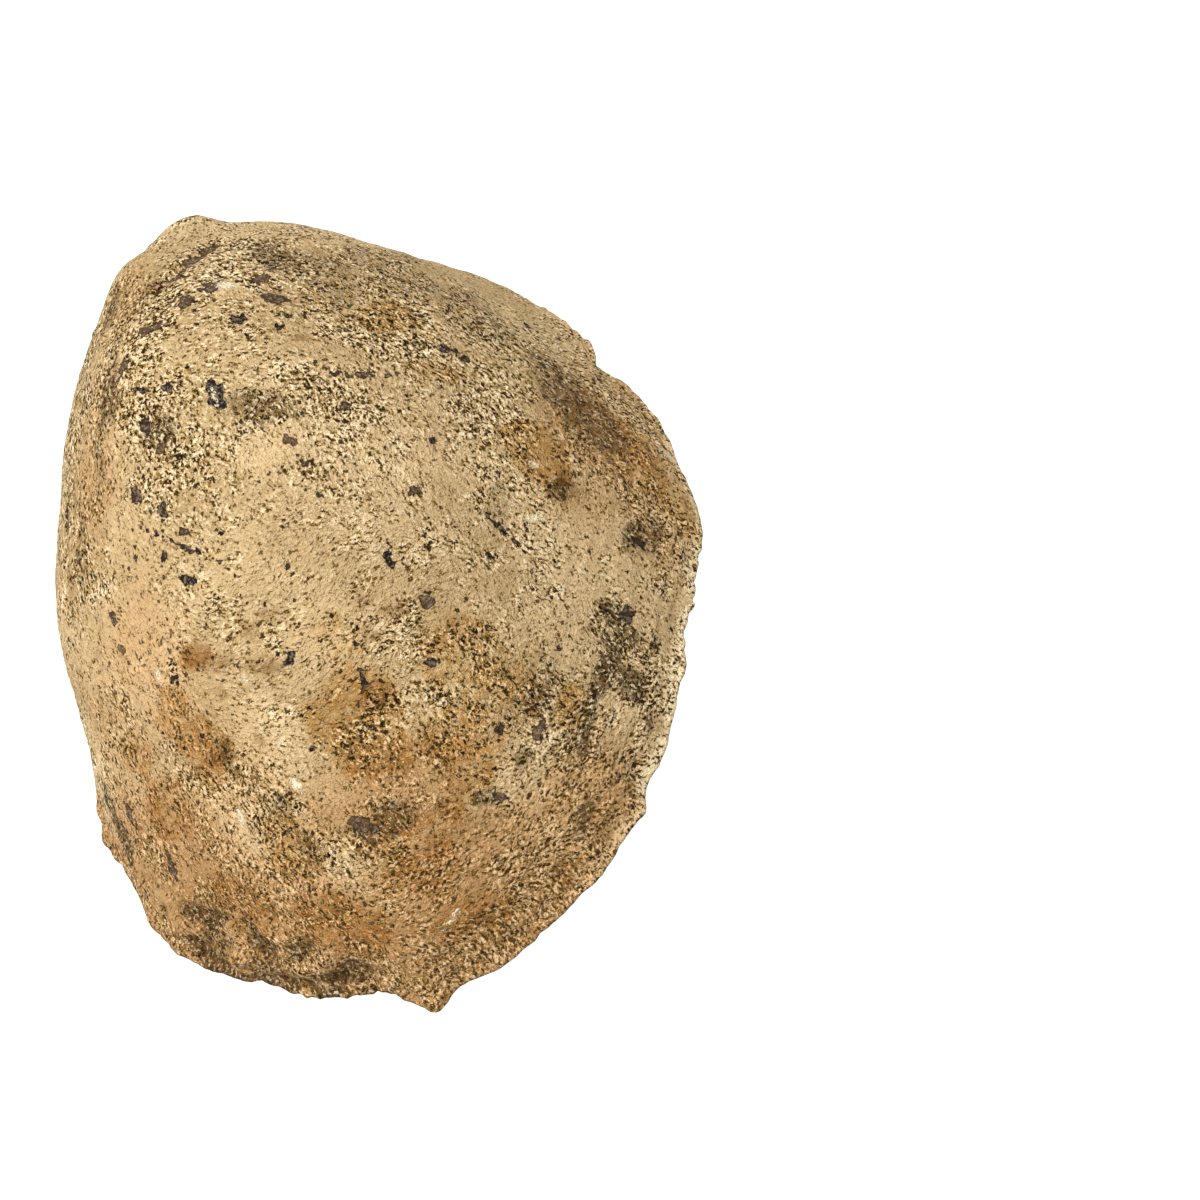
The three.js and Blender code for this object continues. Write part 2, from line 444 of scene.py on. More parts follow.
SMOKE = [
    (0.59, 0.523, 4.5, 3.5, -55, 0.6),
    (0.55, 0.592, 2.6, 2.0, -70, 0.7),
    (0.49, 0.626, 5.0, 2.0, 25, 0.7),
    (0.84, 0.328, 7.0, 5.0, 5, 0.7),
    (0.87, 0.342, 6.0, 5.0, 0, 0.6),
    (0.46, 0.616, 3.0, 1.6, 20, 0.5),
    (0.50, 0.620, 3.0, 1.6, 20, 0.5),
    (0.54, 0.650, 4.0, 1.6, 25, 0.3),
    (0.62, 0.700, 6.0, 1.6, 25, 0.3),
    (0.36, 0.610, 4.0, 1.6, 20, 0.7),
    (0.84, 0.406, 2.2, 1.2, 60, 1.0),
    (0.93, 0.393, 3.0, 2.0, -15, 0.7),
    (0.95, 0.380, 1.5, 1.2, -40, 0.7),
    (0.89, 0.752, 3.5, 1.8, 0, 1.8),
    (0.93, 0.442, 3.0, 1.6, 20, 1.6),
    (0.96, 0.457, 2.5, 1.8, -60, 1.6),
    (0.93, 0.464, 2.5, 1.8, 60, 1.6),
    (0.93, 0.456, 2.2, 1.3, 30, 1.6),
    (0.95, 0.458, 1.8, 1.3, -50, 1.6),
    (0.93, 0.471, 2.2, 1.5, 70, 1.6),
    (0.93, 0.482, 1.8, 1.5, 70, 1.6),
    (0.93, 0.493, 2.0, 1.2, 70, 1.6),
    (0.88, 0.497, 6.0, 2.0, 80, 0.35),
    (0.90, 0.519, 1.5, 1.2, -55, 0.7),
    (0.90, 0.538, 2.2, 1.6, -55, 0.6),
    (0.96, 0.515, 2.5, 1.2, 70, 0.9),
    (0.97, 0.436, 1.5, 1.0, 55, 0.8),
    (0.98, 0.465, 1.5, 0.9, 50, 0.7),
    (0.87, 0.577, 2.5, 2.0, -60, 0.6),
    (0.84, 0.620, 2.5, 2.0, -65, 0.45),
    (0.87, 0.615, 3.5, 2.4, 0, 0.45),
    (0.80, 0.638, 4.0, 1.4, -15, 0.4),
    (0.92, 0.744, 3.0, 1.6, 0, 1.8),
    (0.87, 0.590, 2.2, 1.4, -40, 0.8),
    (0.97, 0.700, 5.0, 2.0, 80, 0.6),
    (0.98, 0.673, 5.0, 2.5, -85, 0.5),
    (0.98, 0.650, 5.0, 2.0, -85, 0.5),
    (0.98, 0.633, 4.0, 1.5, -60, 0.7),
    (0.79, 0.444, 3.5, 4.5, -45, 0.3),
    (0.53, 0.400, 8.0, 4.0, 10, 0.4),
    (0.46, 0.425, 5.0, 3.0, 10, 0.6),
    (0.60, 0.330, 9.0, 7.0, 10, 0.3),
    (0.72, 0.310, 9.0, 7.0, 10, 0.3),
]
PALE = [
    (0.71, 0.665, 9.0, 9.0, 0, 0.8),
    (0.62, 0.640, 9.0, 6.0, 0, 0.5),
    (0.86, 0.600, 9.0, 8.0, 0, 0.2),
    (0.55, 0.640, 7.0, 2.0, 25, 0.5),
    (0.79, 0.609, 7.0, 5.0, -5, 0.8),
    (0.86, 0.650, 5.0, 1.4, -5, 0.8),
    (0.83, 0.751, 5.0, 1.8, 0, 0.8),
    (0.71, 0.471, 6.0, 4.5, -50, 0.6),
    (0.88, 0.465, 4.0, 4.0, 0, 0.9),
    (0.89, 0.441, 4.0, 3.0, -45, 0.8),
    (0.93, 0.517, 2.2, 1.6, -75, 1.0),
    (0.96, 0.467, 2.2, 1.6, -50, 0.8),
    (0.93, 0.529, 3.0, 2.2, -75, 0.6),
    (0.62, 0.535, 5.0, 3.5, -70, 1.0),
    (0.66, 0.295, 1.6, 1.0, -30, 0.9),
    (0.77, 0.533, 2.0, 1.2, -75, 0.8),
    (0.73, 0.721, 6.0, 2.5, 25, 0.6),
    (0.47, 0.491, 2.0, 1.0, -70, 0.9),
    (0.44, 0.545, 1.2, 1.1, -65, 0.8),
    (0.84, 0.593, 3.5, 3.0, -60, 0.5),
    (0.81, 0.491, 3.0, 2.0, -50, 0.4),
    (0.71, 0.559, 5.0, 4.0, -60, 0.4),
    (0.95, 0.422, 2.0, 3.5, -45, 0.7),
    (0.70, 0.671, 7.0, 6.0, 30, 0.6),
    (0.75, 0.559, 6.0, 5.0, -60, 0.5),
    (0.67, 0.581, 6.0, 5.0, -60, 0.4),
    (0.90, 0.614, 2.2, 1.6, -60, 0.8),
    (0.90, 0.595, 2.2, 1.5, -55, 0.8),
    (0.83, 0.668, 1.6, 1.0, 0, 0.7),
    (0.95, 0.684, 1.8, 1.3, 0, 1.0),
    (0.90, 0.415, 7.0, 6.0, 0, 0.5),
]
PORES = [
    (0.93, 0.290, 9.0, 5.0, 0, 0.6),
    (0.37, 0.647, 5.0, 6.0, 0, 1.0),
    (0.46, 0.690, 8.0, 7.0, 0, 0.9),
    (0.58, 0.735, 9.0, 7.0, 0, 0.8),
    (0.42, 0.540, 9.0, 12.0, 0, 0.8),
    (0.56, 0.590, 12.0, 8.0, 20, 0.8),
    (0.70, 0.640, 7.0, 4.0, 20, 0.5),
    (0.90, 0.640, 8.0, 12.0, 0, 0.6),
    (0.60, 0.335, 10.0, 4.0, 10, 0.9),
    (0.72, 0.315, 10.0, 4.0, 10, 0.9),
    (0.82, 0.312, 8.0, 3.0, 10, 0.8),
    (0.50, 0.420, 10.0, 4.0, 10, 0.9),
    (0.60, 0.370, 10.0, 4.0, 10, 0.8),
    (0.72, 0.340, 10.0, 4.0, 10, 0.7),
    (0.52, 0.640, 9.0, 4.0, 25, 0.9),
    (0.62, 0.700, 9.0, 4.0, 25, 0.7),
    (0.36, 0.600, 6.0, 4.0, 25, 0.8),
    (0.38, 0.480, 6.0, 3.0, -80, 0.8),
    (0.53, 0.444, 12.0, 7.0, -25, 0.8),
    (0.64, 0.405, 10.0, 6.0, -10, 0.9),
    (0.75, 0.391, 8.0, 6.0, -5, 0.8),
    (0.62, 0.482, 7.0, 4.0, -40, 0.8),
    (0.86, 0.355, 8.0, 6.0, 5, 1.0),
    (0.93, 0.369, 6.0, 4.0, 20, 0.9),
    (0.51, 0.600, 8.0, 4.0, 35, 0.8),
    (0.60, 0.612, 6.0, 5.0, -70, 0.8),
    (0.59, 0.530, 4.0, 4.0, 0, 0.8),
    (0.39, 0.509, 6.0, 4.0, -90, 0.6),
    (0.50, 0.497, 6.0, 5.0, -55, 0.6),
    (0.93, 0.450, 8.0, 3.0, 35, 0.8),
    (0.97, 0.454, 8.0, 3.0, 55, 0.9),
    (0.93, 0.492, 6.0, 4.0, 70, 0.9),
    (0.98, 0.485, 8.0, 3.0, 70, 0.8),
    (0.88, 0.496, 6.0, 3.0, 80, 0.8),
    (0.83, 0.503, 4.0, 4.0, 0, 0.6),
    (0.97, 0.536, 8.0, 3.0, 80, 0.7),
    (0.98, 0.577, 8.0, 3.0, -85, 0.8),
    (0.97, 0.616, 8.0, 3.0, -60, 0.9),
    (0.96, 0.653, 8.0, 4.0, -50, 0.9),
    (0.94, 0.690, 6.0, 4.0, -15, 0.9),
    (0.84, 0.622, 4.0, 4.0, 0, 0.7),
    (0.80, 0.632, 6.0, 3.0, -15, 0.6),
    (0.82, 0.567, 5.0, 5.0, 0, 0.7),
    (0.89, 0.594, 7.0, 5.0, -60, 0.5),
    (0.83, 0.678, 5.0, 5.0, 0, 0.6),
    (0.91, 0.721, 4.0, 4.0, 0, 0.6),
    (0.41, 0.602, 8.0, 3.0, 25, 0.6),
    (0.79, 0.525, 5.0, 4.0, -55, 0.6),
    (0.81, 0.469, 4.0, 3.0, -50, 0.5),
]
EARTH = [
    (0.92, 0.290, 9.0, 8.0, 0, 0.35),
    (0.86, 0.390, 9.0, 8.0, 0, 0.35),
    (0.95, 0.705, 9.0, 6.0, 0, 1.0),
    (0.93, 0.345, 6.0, 5.0, 0, 0.7),
    (0.72, 0.665, 14.0, 11.0, 0, 0.45),
    (0.80, 0.715, 12.0, 8.0, 0, 0.45),
    (0.54, 0.665, 14.0, 8.0, 25, 0.5),
    (0.91, 0.732, 9.0, 7.0, 0, 0.8),
    (0.84, 0.625, 9.0, 7.0, 0, 0.4),
    (0.37, 0.590, 8.0, 5.0, 25, 0.5),
    (0.93, 0.640, 24.0, 10.0, -55, 1.0),
    (0.94, 0.566, 16.0, 11.0, -85, 1.0),
    (0.88, 0.694, 12.0, 12.0, 0, 0.8),
    (0.96, 0.508, 10.0, 8.0, 70, 0.8),
    (0.86, 0.570, 14.0, 8.0, -80, 0.7),
    (0.80, 0.645, 12.0, 8.0, -25, 0.5),
    (0.87, 0.349, 10.0, 8.0, 5, 0.8),
    (0.94, 0.379, 9.0, 5.0, 30, 0.5),
    (0.49, 0.625, 10.0, 6.0, 25, 0.4),
    (0.75, 0.701, 12.0, 8.0, 25, 0.2),
    (1.00, 0.690, 8.0, 4.0, -65, 1.0),
    (1.00, 0.782, 8.0, 5.0, -5, 1.0),
]
PORES_EVERYWHERE = 0.24

# The open texture of the shell runs from beak to margin, but turns to the growth lines in these ovals.
TURNED_GRAIN = [
    (0.50, 0.50, 14.0, 14.0, 0, 0.6),
    (0.74, 0.56, 14.0, 18.0, 0, 0.95),
    (0.93, 0.53, 10.0, 34.0, 0, 1.0),
]

# The groove behind the crest: points of its line, as size and round, then its half width and its depth.
GROOVE_LINE = [(0.374, 0.466), (0.386, 0.505), (0.400, 0.548)]
GROOVE_HALF_WIDTH = 1.1
GROOVE_DEPTH = 0.7

# Where the margin is broken back or stands out: round, half width and how far it stands out.
MARGIN_BREAKS = [
    (0.235, 3.2, -1.6),
    (0.265, 5.0, -0.4),
    (0.357, 5.0, 0.8),
    (0.415, 5.0, -0.6),
    (0.432, 2.5, 0.5),
    (0.463, 4.0, 0.5),
    (0.483, 1.8, -0.9),
    (0.492, 2.5, 0.6),
    (0.520, 2.5, 0.6),
    (0.545, 13.0, -1.1),
    (0.588, 2.5, -0.4),
    (0.602, 2.4, 1.8),
    (0.628, 5.5, -2.2),
    (0.670, 9.0, -0.8),
    (0.720, 7.0, 0.9),
    (0.760, 4.0, -1.1),
    (0.787, 4.0, 0.7),
]
MARGIN_BREAK_REACH = 0.90


def line_gap(points, line):
    """Distance from points to a line on the dome, in millimetres."""
    gap = np.full(points.shape[:-1], 1e3)
    corners = [dome_at([size], [place_round])[0, 0] for size, place_round in line]
    for start, end in zip(corners, corners[1:]):
        run = end - start
        share = np.clip((points - start) @ run / (run @ run), 0, 1)
        gap = np.minimum(gap, np.linalg.norm(points - start - share[..., None] * run, axis=-1))
    return gap


def gaps_to(ovals, spread):
    """Millimetres from each point of the dome to the edge of each oval, made wider by spread."""
    return np.array([(blotch(dome, *oval) - 1) * oval[3] - spread for oval in ovals])


# What the shell is like at each point of the dome. Stains and pores lie in ovals with wandering edges.
# There is also a band of earth by the margin, and one of hard crags, with painted light on their tops and
# painted shade in the hollows between them.
STAIN_WANDER = 1.6
STAIN_WANDER_SIZE = 8
wander = np.stack([lumps(dome, STAIN_WANDER_SIZE, 3, seed) for seed in (11, 12, 13)], -1)
stained = dome + STAIN_WANDER * wander
pores = PORES_EVERYWHERE + blotches(stained, PORES, (0.3, 1.3)) * (1 - PORES_EVERYWHERE)
pores = np.clip(pores, 0, 1)
pale = blotches(stained, PALE)
pores *= 1 - 0.6 * pale
rust = blotches(stained, RUST)
smoke_and_shade = blotches(stained, SMOKE)
dirty_margin = band(rounds, 0.46, 0.56, 0.80, 0.84) + 0.3 * band(rounds, 0.20, 0.24, 0.33, 0.39)
near_margin = smooth_step(sizes, 0.93, 0.985)[:, None] * dirty_margin
craggy = smooth_step(sizes, 0.915, 0.965)[:, None] * band(rounds, 0.61, 0.65, 0.70, 0.74)
crags = lumps(dome, 3.4, 1, 15) + 0.3 * lumps(dome, 1.5, 1, 19)
# Painted shade in the hollows between the crags goes into the smoke, and painted light on their tops goes
# into the pale places.
smoke_and_shade = np.maximum(smoke_and_shade, 1.8 * craggy * smooth_step(-crags, -0.05, 0.3))
pale = np.maximum(pale, craggy * smooth_step(crags, 0.05, 0.35))
earth = np.maximum(blotches(stained, EARTH, (0.3, 1.4)), 1.3 * near_margin)
pores = np.clip(pores + 0.3 * near_margin, 0, 1)
groove = 1 - smooth_step(line_gap(dome, GROOVE_LINE), 0.4 * GROOVE_HALF_WIDTH, 1.4 * GROOVE_HALF_WIDTH)

# The way the open texture runs, turned by up to a right angle where TURNED_GRAIN says.
GRAIN_SWAY = 25
grain_turn = np.radians(90 * blotches(dome, TURNED_GRAIN) + GRAIN_SWAY * lumps(dome, 12, 2, 14))[..., None]
downward = along / np.linalg.norm(along, axis=-1, keepdims=True)
sideward = np.cross(outward, downward)
grain_way = downward * np.cos(grain_turn) + sideward * np.sin(grain_turn)

# How far each point is from the nearest grain and fleck, and that grain's tone.
GRAIN_SPREAD = 0.15
FLECK_SPREAD = 0.1
GAP_LIMIT = 3.0
grain_gaps = gaps_to([grain[:-1] for grain in GRAINS], GRAIN_SPREAD)
grain_gap = np.minimum(grain_gaps.min(0), GAP_LIMIT)
grain_tone = np.array(GRAINS)[grain_gaps.argmin(0), -1] * (grain_gap < GAP_LIMIT)
fleck_gap = np.minimum(gaps_to(FLECKS, FLECK_SPREAD).min(0), GAP_LIMIT)

# Low swellings and hard knobs of the dome: size, round, half lengths, turn and height.
SWELLINGS = [
    (0.27, 0.505, 3.0, 3.0, 0, 0.5),
    (0.70, 0.755, 13.0, 13.0, 0, 1.7),
    (0.30, 0.467, 3.2, 3.2, 0, 1.4),
    (0.315, 0.582, 4.5, 4.5, 0, 1.2),
    (0.63, 0.280, 6.0, 6.0, 0, 0.8),
]

# Relief of the dome, in millimetres along its outward direction. Black grains have weathered down into
# pits, and the browner ones stand out.
DENT_DEPTH = 0.45
DENT_SIZE = 26
GROWTH_STEP = 0.10
GROWTH_LINE_GAP = 3.1
LUMP_HEIGHT = 0.22
LUMP_SIZE = 4.5
CRUMB_HEIGHT = 0.16
CRUMB_SIZE = 1.6
MARGIN_CRAG_HEIGHT = 0.55
CRAG_HEIGHT = 1.3
GRAIN_PIT_DEPTH = 0.5
GRAIN_HEIGHT = 0.2
BLACK_GRAIN_TONE = 0.25
to_margin = 1 - smooth_step(sizes, 0.990, 1.0)[:, None]
from_margin = np.interp(sizes, fine[1:], np.cumsum(ring_lengths))
growth_phase = from_margin[:, None] / GROWTH_LINE_GAP + 0.8 * lumps(dome, 30, 2, 1)
growth = np.sin(2 * np.pi * growth_phase) * smooth_step(sizes, 0.55, 0.95)[:, None]
grain_body = 1 - smooth_step(grain_gap, -0.6, 0.2)
relief = (
    DENT_DEPTH * (lumps(dome, DENT_SIZE, 2, 2) - 0.5)
    + GROWTH_STEP * (growth - 1)
    + LUMP_HEIGHT * (0.4 + pores) * lumps(dome, LUMP_SIZE, 3, 3)
    + CRUMB_HEIGHT * (0.2 + pores) * (lumps(dome, CRUMB_SIZE, 2, 4) - 0.5)
    + sum(height * np.exp(-(blotch(dome, *oval) ** 2)) for *oval, height in SWELLINGS)
    + (MARGIN_CRAG_HEIGHT * near_margin + CRAG_HEIGHT * craggy) * crags
    - GROOVE_DEPTH * groove
    + np.where(grain_tone < BLACK_GRAIN_TONE, -GRAIN_PIT_DEPTH, GRAIN_HEIGHT) * grain_body
)
dome_worn = dome + outward * (relief * to_margin)[..., None]

# The broken margin: bites, scallops and chips, as a shift in the plane of the rim. The hinge has none.
SCALLOP_HEIGHT = 0.40
SCALLOP_SIZE = 5.0
CHIP_HEIGHT = 0.55
CHIP_SIZE = 1.6
margin = margin_at(rounds)
margin_way = np.roll(margin, -1, 0) - np.roll(margin, 1, 0)
margin_out = np.stack((-margin_way[:, 1], margin_way[:, 0]), -1)
margin_out /= np.linalg.norm(margin_out, axis=1, keepdims=True)
if np.sum(margin_out * (margin - margin.mean(0))) < 0:
    margin_out = -margin_out
margin_length = step_lengths.sum()
broken = np.zeros(STEPS_ROUND)
for place_round, half_width, stands_out in MARGIN_BREAKS:
    gap = np.abs((rounds - place_round + 0.5) % 1 - 0.5) * margin_length / half_width
    broken += stands_out * np.exp(-(gap**2))
margin_line = np.concatenate((margin, np.zeros((STEPS_ROUND, 1))), 1)
chipped = 0.25 + 0.75 * smooth_step(lumps(margin_line, 9.0, 2, 16), -0.5, 0.5)
scallops = SCALLOP_HEIGHT * (lumps(margin_line, SCALLOP_SIZE, 2, 5) - 0.3)
scallops += CHIP_HEIGHT * chipped * (lumps(margin_line, CHIP_SIZE, 3, 6) - 0.3)
away_from_hinge = smooth_step(np.linalg.norm(margin, axis=1), 15, 40)
reach_wide = smooth_step(sizes, MARGIN_BREAK_REACH, 1.0)[:, None]
reach_near = smooth_step(sizes, 0.975, 1.0)[:, None]
shift = (reach_wide * broken + reach_near * scallops) * away_from_hinge
dome_worn[..., :2] += shift[..., None] * margin_out
dome_worn[-1, :, 2] = 0
dome_worn[..., 2] = np.maximum(dome_worn[..., 2], 0)

# The flat rim, where the shell is broken through, and the hollow inside it, with its scars and mantle line
# worn in. The relief of the hollow stands towards a point beneath the bowl.
RING_SPREAD = 1.4
BENEATH_BOWL = np.array((*BOWL_CENTRE, -20.0))
HOLLOW_LUMP_HEIGHT = 0.25
MANTLE_LINE_WIDTH = 0.022


def flat_blotch(points, middle, half_long, half_wide, turn):
    """How far points are, seen from above, from the middle of an oval, where 1 is its edge."""
    angle = np.radians(turn)
    offset = points[..., :2] - middle
    lengthwise = offset @ (-np.sin(angle), np.cos(angle)) / half_long
    sideways = offset @ (np.cos(angle), np.sin(angle)) / half_wide
    return np.hypot(lengthwise, sideways)


rim_shares = np.arange(1, RIM_RINGS)[:, None, None] / RIM_RINGS
hollow_sizes = 1 - np.linspace(0, 1, HOLLOW_RINGS + 1)[:-1] ** RING_SPREAD
hollow = hollow_at(hollow_sizes, rounds)
rim_rings = dome_worn[-1] + (hollow[0] - dome_worn[-1]) * rim_shares
rim_relief = np.maximum(0, 0.25 + 0.5 * lumps(rim_rings, 2.2, 3, 7)) * away_from_hinge
rim_rings[..., 2] += rim_relief * np.sin(np.pi * rim_shares[..., 0])
for middle, length, width, depth, turn in HINGE_HOLLOWS:
    from_middle = flat_blotch(rim_rings, middle, length / 2, width / 2, turn)
    socket = depth * np.sqrt(np.clip(1 - from_middle**2, 0, None))
    rim_rings[..., 2] = np.maximum(rim_rings[..., 2], socket)

scar = np.zeros(hollow.shape[:-1])
for oval in MUSCLE_SCARS:
    from_middle = flat_blotch(hollow, *oval) + 0.12 * lumps(hollow, 9, 3, 17)
    scar = np.maximum(scar, 1 - smooth_step(from_middle, 0.8, 1.1))
from_line = np.abs(hollow_sizes[:, None] - MANTLE_LINE_SIZE - 0.01 * lumps(hollow, 20, 2, 9))
mantle_line = (1 - smooth_step(from_line, 0.0, MANTLE_LINE_WIDTH)) * band(rounds, 0.27, 0.31, 0.71, 0.75)
hollow_way = BENEATH_BOWL - hollow
hollow_way /= np.linalg.norm(hollow_way, axis=-1, keepdims=True)
from_rim = smooth_step(1 - hollow_sizes, 0.0, 0.1)[:, None]
hollow_relief = HOLLOW_LUMP_HEIGHT * lumps(hollow, 9, 3, 8) * from_rim
hollow_relief -= SCAR_DEPTH * np.maximum(scar, 0.6 * mantle_line)
hollow = hollow + hollow_way * hollow_relief[..., None]

pole = np.zeros((1, 3))
bowl_middle = np.array([[*BOWL_CENTRE, BOWL_DEPTH]])
rings = np.concatenate((dome_worn, rim_rings, hollow))
points = np.concatenate((pole, rings.reshape(-1, 3), bowl_middle))

# The CAD valve is this same dome without its relief, moved so that its box stands on the origin.
smooth_middle = (dome.min((0, 1)) + dome.max((0, 1))) / 2
move = np.array(valve_middle) / MM - smooth_middle
move[2] = low.z / MM
places = (points + move) * MM

ring_count = len(rings)
index = 1 + np.arange(ring_count * STEPS_ROUND).reshape(ring_count, STEPS_ROUND)
following = np.roll(index, -1, 1)
first_point = np.zeros(STEPS_ROUND, int)
last_point = np.full(STEPS_ROUND, len(points) - 1)
pole_fan = np.stack((index[0], following[0], first_point), -1)
quads = np.stack((index[1:], following[1:], following[:-1], index[:-1]), -1).reshape(-1, 4)
bowl_fan = np.stack((last_point, following[-1], index[-1]), -1)
faces = [*pole_fan.tolist(), *quads.tolist(), *bowl_fan.tolist()]

mesh = bpy.data.meshes.new("shell")
mesh.from_pydata(places.tolist(), [], faces)
shell = bpy.data.objects.new("shell", mesh)
bpy.context.scene.collection.objects.link(shell)
mesh.polygons.foreach_set("use_smooth", np.ones(len(faces), bool))

# The three materials, from the pole outwards: the fan and the rings of quads each have STEPS_ROUND faces.
OUTSIDE, BROKEN_RIM, INSIDE = 0, 1, 2
stuff_of_ring = [OUTSIDE] * OUTSIDE_RINGS + [BROKEN_RIM] * RIM_RINGS + [INSIDE] * HOLLOW_RINGS
mesh.polygons.foreach_set("material_index", np.repeat(stuff_of_ring, STEPS_ROUND).astype(np.int32))


def store(name, ring_values, elsewhere=0.0, first_ring=0):
    """A value for each point of the mesh, which the materials read by name."""
    values = np.full(len(points), elsewhere, np.float32)
    start = 1 + first_ring * STEPS_ROUND
    values[start : start + ring_values.size] = ring_values.ravel()
    attribute = mesh.attributes.new(name, "FLOAT", "POINT")
    attribute.data.foreach_set("value", values)


HOLLOW_START = OUTSIDE_RINGS + RIM_RINGS - 1
edge = smooth_step(sizes, 0.986, 0.995)[:, None] * band(rounds, 0.26, 0.30, 0.50, 0.55)
store("pores", pores, 0.5)
store("earth", earth)
store("pale", pale)
store("rust", rust)
store("smoke_and_shade", smoke_and_shade)
store("groove", groove)
store("grain_gap", grain_gap, GAP_LIMIT)
store("grain_tone", grain_tone)
store("fleck_gap", fleck_gap, GAP_LIMIT)
store("scar", scar, first_ring=HOLLOW_START)
store("mantle_line", mantle_line, first_ring=HOLLOW_START)
store("edge", edge)
point_ways = np.zeros((len(points), 3), np.float32)
point_ways[1 : 1 + OUTSIDE_RINGS * STEPS_ROUND] = grain_way.reshape(-1, 3)
mesh.attributes.new("way", "FLOAT_VECTOR", "POINT").data.foreach_set("vector", point_ways.ravel())


class Bench:
    """A node tree being built: each call adds a node, sets or links its inputs, and gives back a socket."""

    def __init__(self, tree):
        self.tree = tree

    def add(self, kind, inputs=None, **settings):
        node = self.tree.nodes.new("ShaderNode" + kind)
        for name, value in settings.items():
            setattr(node, name, value)
        for name, value in (inputs or {}).items():
            self.fill(node.inputs[name], value)
        return node

    def fill(self, socket, value):
        if isinstance(value, bpy.types.NodeSocket):
            self.tree.links.new(value, socket)
        else:
            socket.default_value = value

    def math(self, operation, first, second=0.0, third=0.0):
        inputs = dict(enumerate((first, second, third)))
        return self.add("Math", inputs, operation=operation).outputs[0]

    def scaled(self, place, factor):
        return self.add("VectorMath", {0: place, "Scale": factor}, operation="SCALE").outputs[0]

    def vector(self, operation, first, second=(0.0, 0.0, 0.0)):
        node = self.add("VectorMath", {0: first, 1: second}, operation=operation)
        return node.outputs["Value" if operation in ("DOT_PRODUCT", "LENGTH") else "Vector"]

    def ramp(self, value, start, end, low=0.0, high=1.0):
        inputs = {"Value": value, "From Min": start, "From Max": end, "To Min": low, "To Max": high}
        return self.add("MapRange", inputs, interpolation_type="SMOOTHSTEP").outputs["Result"]

    def blend(self, share, first, second, way="MIX"):
        node = self.add("Mix", {0: share, 6: first, 7: second}, data_type="RGBA", blend_type=way)
        return node.outputs[2]

    def coat(self, base, paint, mask, strength, way="MIX"):
        return self.blend(self.math("MULTIPLY", mask, strength), base, paint, way)

    def cloud(self, place, size, detail=3.0, rough=0.5, output="Fac"):
        inputs = {"Vector": place, "Scale": 1.0 / size, "Detail": detail, "Roughness": rough}
        return self.add("TexNoise", inputs).outputs[output]

    def sway(self, place, size, rough, reach):
        """A random shift that changes smoothly over the surface, up to half of reach each way."""
        shift = self.vector("SUBTRACT", self.cloud(place, size, 1.0, rough, "Color"), (0.5, 0.5, 0.5))
        return self.scaled(shift, reach)

    def read(self, name, output="Fac"):
        return self.add("Attribute", attribute_name=name).outputs[output]

    def group(self, tree, **inputs):
        node = self.add("Group", node_tree=tree)
        for name, value in inputs.items():
            self.fill(node.inputs[name], value)
        return node.outputs


def new_group(name, inputs, outputs):
    """An empty shader node group: its bench, what comes in and what goes out. Inputs are given with their
    defaults, and one without is a vector."""
    tree = bpy.data.node_groups.new(name, "ShaderNodeTree")
    for label, default in inputs.items():
        kind = "NodeSocketVector" if default is None else "NodeSocketFloat"
        socket = tree.interface.new_socket(name=label, in_out="INPUT", socket_type=kind)
        if default is not None:
            socket.default_value = default
    for label in outputs:
        tree.interface.new_socket(name=label, in_out="OUTPUT", socket_type="NodeSocketFloat")
    given = tree.nodes.new("NodeGroupInput").outputs
    result = tree.nodes.new("NodeGroupOutput").inputs
    return Bench(tree), given, result


def colour(red, green, blue):
    """A paint colour, given as it looks on screen, as the linear colour that a shader takes."""
    seen = np.array((red, green, blue))
    linear = np.where(seen <= 0.04045, seen / 12.92, ((seen + 0.055) / 1.055) ** 2.4)
    return (*linear.tolist(), 1.0)


# Marks: round or long holes, one at most in each cell. Place and Cell are in millimetres, and long holes
# lie in the direction Way. Share is how many of the cells have one, Radius is half the width of the widest,
# in cells, and Stretch is how many times longer than wide they are.
bench, given, result = new_group(
    "marks",
    {"Place": None, "Way": None, "Cell": 1.0, "Share": 0.5, "Radius": 0.4, "Stretch": 1.0},
    ["Core", "Lip", "Tone"],
)
in_cells = bench.scaled(given["Place"], bench.math("DIVIDE", 1.0, given["Cell"]))
cells = bench.add("TexVoronoi", {"Vector": in_cells, "Scale": 1.0})
chance = bench.add("SeparateColor", {"Color": cells.outputs["Color"]}).outputs
jitter = bench.vector("SUBTRACT", cells.outputs["Color"], (0.5, 0.5, 0.5))
way = bench.vector("NORMALIZE", bench.vector("ADD", given["Way"], bench.scaled(jitter, 0.9)))
offset = bench.vector("SUBTRACT", in_cells, cells.outputs["Position"])
squash = bench.math("SUBTRACT", bench.math("DIVIDE", 1.0, given["Stretch"]), 1.0)
pull = bench.math("MULTIPLY", bench.vector("DOT_PRODUCT", offset, way), squash)
reach = bench.vector("LENGTH", bench.vector("ADD", offset, bench.scaled(way, pull)))
radius = bench.math("MULTIPLY", given["Radius"], bench.ramp(chance["Green"], -0.4, 1.0))
present = bench.math("LESS_THAN", chance["Red"], given["Share"])
core = bench.ramp(reach, radius, bench.math("MULTIPLY", radius, 0.75))
lip = bench.ramp(reach, bench.math("MULTIPLY_ADD", radius, 1.2, 0.12), radius)
bench.fill(result["Core"], bench.math("MULTIPLY", core, present))
bench.fill(result["Lip"], bench.math("MULTIPLY", bench.math("SUBTRACT", lip, core), present))
bench.fill(result["Tone"], chance["Blue"])
marks_group = bench.tree

